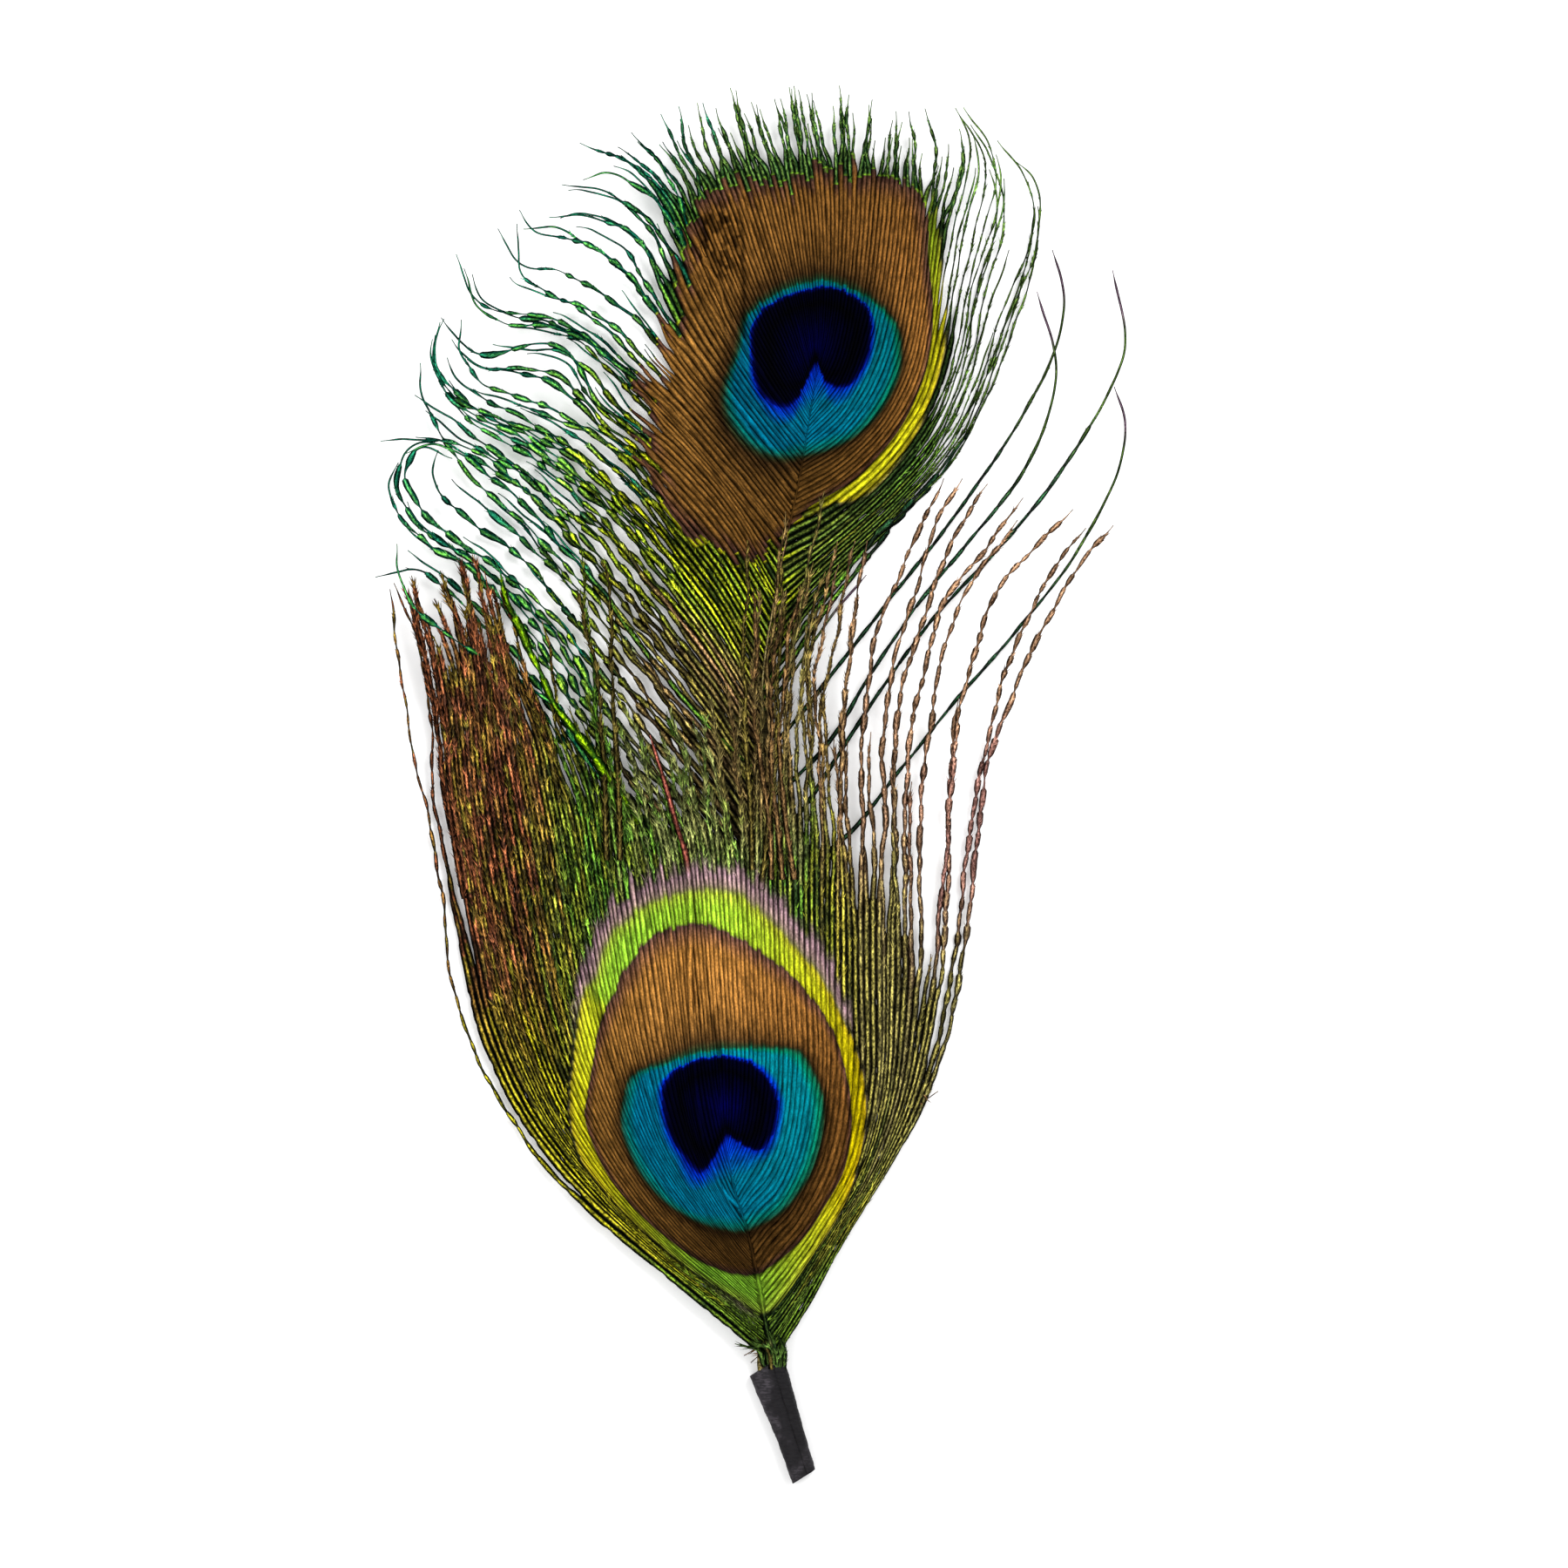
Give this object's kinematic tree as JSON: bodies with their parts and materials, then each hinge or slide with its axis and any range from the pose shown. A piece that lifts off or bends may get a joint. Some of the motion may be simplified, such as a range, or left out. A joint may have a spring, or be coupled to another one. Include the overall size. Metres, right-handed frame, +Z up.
{
  "type": "peacock feather",
  "caption": "Trimmed peacock eye feathers laid one above the other, with long loose barbs, their cut quills bound in a flat black tape tab.",
  "frame": {"origin": "middle of the footprint, on the surface that the feathers lie on", "axes": "+Z up, away from the surface and out of the eyes' faces; +Y from the taped quills to the tips; +X to the right seen from above with the tips away from the viewer"},
  "size_m": [0.0777, 0.1444, 0.0068],
  "materials": {
    "front_vane": "iridescent satin barbs: navy and turquoise eye in bronze, lime ring, copper brown loose barbs",
    "rear_vane": "iridescent satin barbs: navy and turquoise eye in bronze, emerald and yellow-green loose barbs",
    "tape": "matt black crepe tape, folded flat and slightly worn"
  },
  "bodies": {
    "root": {"rear_feather": "rear_vane", "front_feather": "front_vane", "stem_tape": "tape"}
  },
  "joints": []
}
